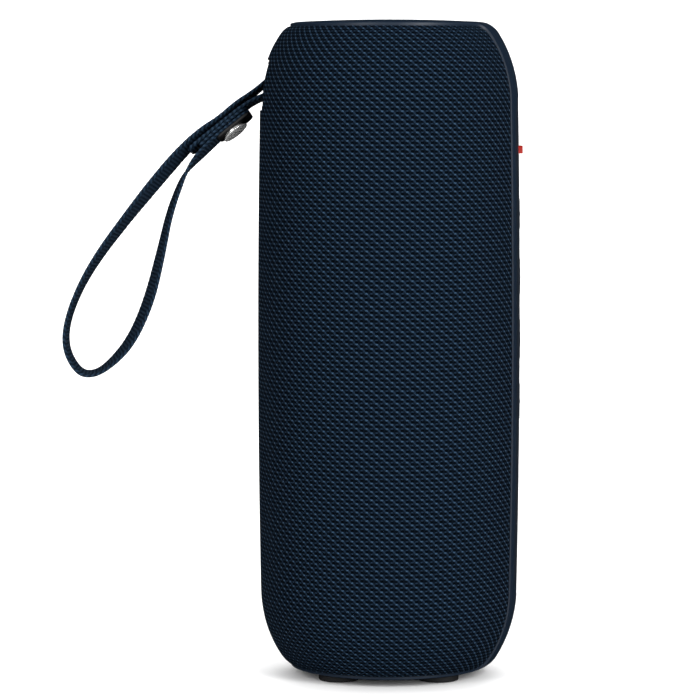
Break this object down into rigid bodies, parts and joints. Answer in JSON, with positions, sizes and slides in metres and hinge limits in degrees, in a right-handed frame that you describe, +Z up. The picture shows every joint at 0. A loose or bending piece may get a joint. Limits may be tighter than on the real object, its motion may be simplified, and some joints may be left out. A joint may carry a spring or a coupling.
{
  "type": "portable bluetooth speaker",
  "caption": "Fabric-wrapped round-ended cylindrical wireless speaker with a smooth button strip, end discs, rubber feet, a rear port flap and a snap wrist strap.",
  "frame": {"origin": "on the floor, under the middle of the body, level with the undersides of the feet", "axes": "+Z up along the body; +X towards the button strip; -X towards the wrist strap; -Y towards the front drivers"},
  "size_m": [0.132, 0.0745, 0.1882],
  "materials": {
    "woven_fabric": "woven",
    "navy_frame": "satin",
    "navy_rubber": "matte",
    "red_key": "satin",
    "black_plastic": "matte",
    "grey_plastic": "matte",
    "foam": "matte",
    "black_rubber": "matte",
    "bright_metal": "polished",
    "steel": "satin",
    "magnet_steel": "satin",
    "paper_cone": "matte",
    "cell_sleeve": "gloss",
    "board_green": "satin",
    "chip_black": "matte",
    "capacitor_can": "satin",
    "clear_light": "clear",
    "webbing": "woven",
    "black_tape": "woven"
  },
  "bodies": {
    "housing": {"amplifier_chips": "chip_black", "aux_socket": "chip_black", "baffle_screws": "steel", "battery_board": "board_green", "battery_cells": "cell_sleeve", "battery_holder": "black_plastic", "board_link": "chip_black", "board_screws": "steel", "bottom_carrier": "black_plastic", "button_board": "board_green", "button_bracket": "black_plastic", "button_switches": "chip_black", "capacitors": "capacitor_can", "carrier_screws": "steel", "chamber": "grey_plastic", "control_frame": "navy_frame", "driver_lower_basket": "black_plastic", "driver_lower_magnet": "magnet_steel", "driver_lower_surround": "black_rubber", "driver_upper_basket": "black_plastic", "driver_upper_magnet": "magnet_steel", "driver_upper_surround": "black_rubber", "fabric_cover": "woven_fabric", "feet": "black_rubber", "front_baffle": "grey_plastic", "front_gasket": "foam", "grille_shell_front": "black_plastic", "grille_shell_rear": "black_plastic", "key_panel": "navy_rubber", "light_pipe": "clear_light", "main_board": "board_green", "port_bezel": "black_plastic", "port_board": "board_green", "radiator_surround": "black_rubber", "radio_can": "steel", "rear_baffle": "grey_plastic", "rear_gasket": "foam", "status_lamp": "clear_light", "strap_bar": "steel", "strap_pocket": "black_plastic", "top_carrier": "black_plastic", "usb_socket": "steel"},
    "power_key": {"power_button": "red_key"},
    "pairing_key": {"pairing_button": "navy_rubber"},
    "volume_up_key": {"volume_up_button": "navy_rubber"},
    "play_key": {"play_button": "navy_rubber"},
    "volume_down_key": {"volume_down_button": "navy_rubber"},
    "upper_cone": {"driver_upper_cone": "paper_cone"},
    "lower_cone": {"driver_lower_cone": "paper_cone"},
    "radiator": {"radiator_plate": "black_plastic", "radiator_weight": "magnet_steel"},
    "port_door": {"port_cover": "navy_rubber"},
    "strap": {"strap_webbing": "webbing", "strap_stub": "webbing", "tab_lining": "black_tape", "snap_cap": "bright_metal", "snap_stud": "steel"}
  },
  "joints": [
    {"name": "power_press", "type": "slide", "parent": "housing", "child": "power_key", "axis": [-1, 0, 0], "range_m": [0, 0.0004], "stiffness_N_per_m": 2000},
    {"name": "pairing_press", "type": "slide", "parent": "housing", "child": "pairing_key", "axis": [-1, 0, 0], "range_m": [0, 0.0004], "stiffness_N_per_m": 2000},
    {"name": "volume_up_press", "type": "slide", "parent": "housing", "child": "volume_up_key", "axis": [-1, 0, 0], "range_m": [0, 0.0004], "stiffness_N_per_m": 2000},
    {"name": "play_press", "type": "slide", "parent": "housing", "child": "play_key", "axis": [-1, 0, 0], "range_m": [0, 0.0004], "stiffness_N_per_m": 2000},
    {"name": "volume_down_press", "type": "slide", "parent": "housing", "child": "volume_down_key", "axis": [-1, 0, 0], "range_m": [0, 0.0004], "stiffness_N_per_m": 2000},
    {"name": "upper_cone_stroke", "type": "slide", "parent": "housing", "child": "upper_cone", "axis": [0, -1, 0], "range_m": [-0.0015, 0.0015], "stiffness_N_per_m": 1500, "deforming": ["driver_upper_surround"]},
    {"name": "lower_cone_stroke", "type": "slide", "parent": "housing", "child": "lower_cone", "axis": [0, -1, 0], "range_m": [-0.0015, 0.0015], "stiffness_N_per_m": 1500, "deforming": ["driver_lower_surround"]},
    {"name": "radiator_stroke", "type": "slide", "parent": "housing", "child": "radiator", "axis": [0, 1, 0], "range_m": [-0.0025, 0.0025], "stiffness_N_per_m": 800, "deforming": ["radiator_surround"]},
    {"name": "port_cover_hinge", "type": "hinge", "parent": "housing", "child": "port_door", "pos_m": [-0.0085, 0.0361, 0.0387], "axis": [0, 0, 1], "range_deg": [0, 100]},
    {"name": "strap_swing", "type": "hinge", "parent": "housing", "child": "strap", "pos_m": [-0.0339, 0, 0.16925], "axis": [0, 1, 0], "range_deg": [0, 80]}
  ]
}
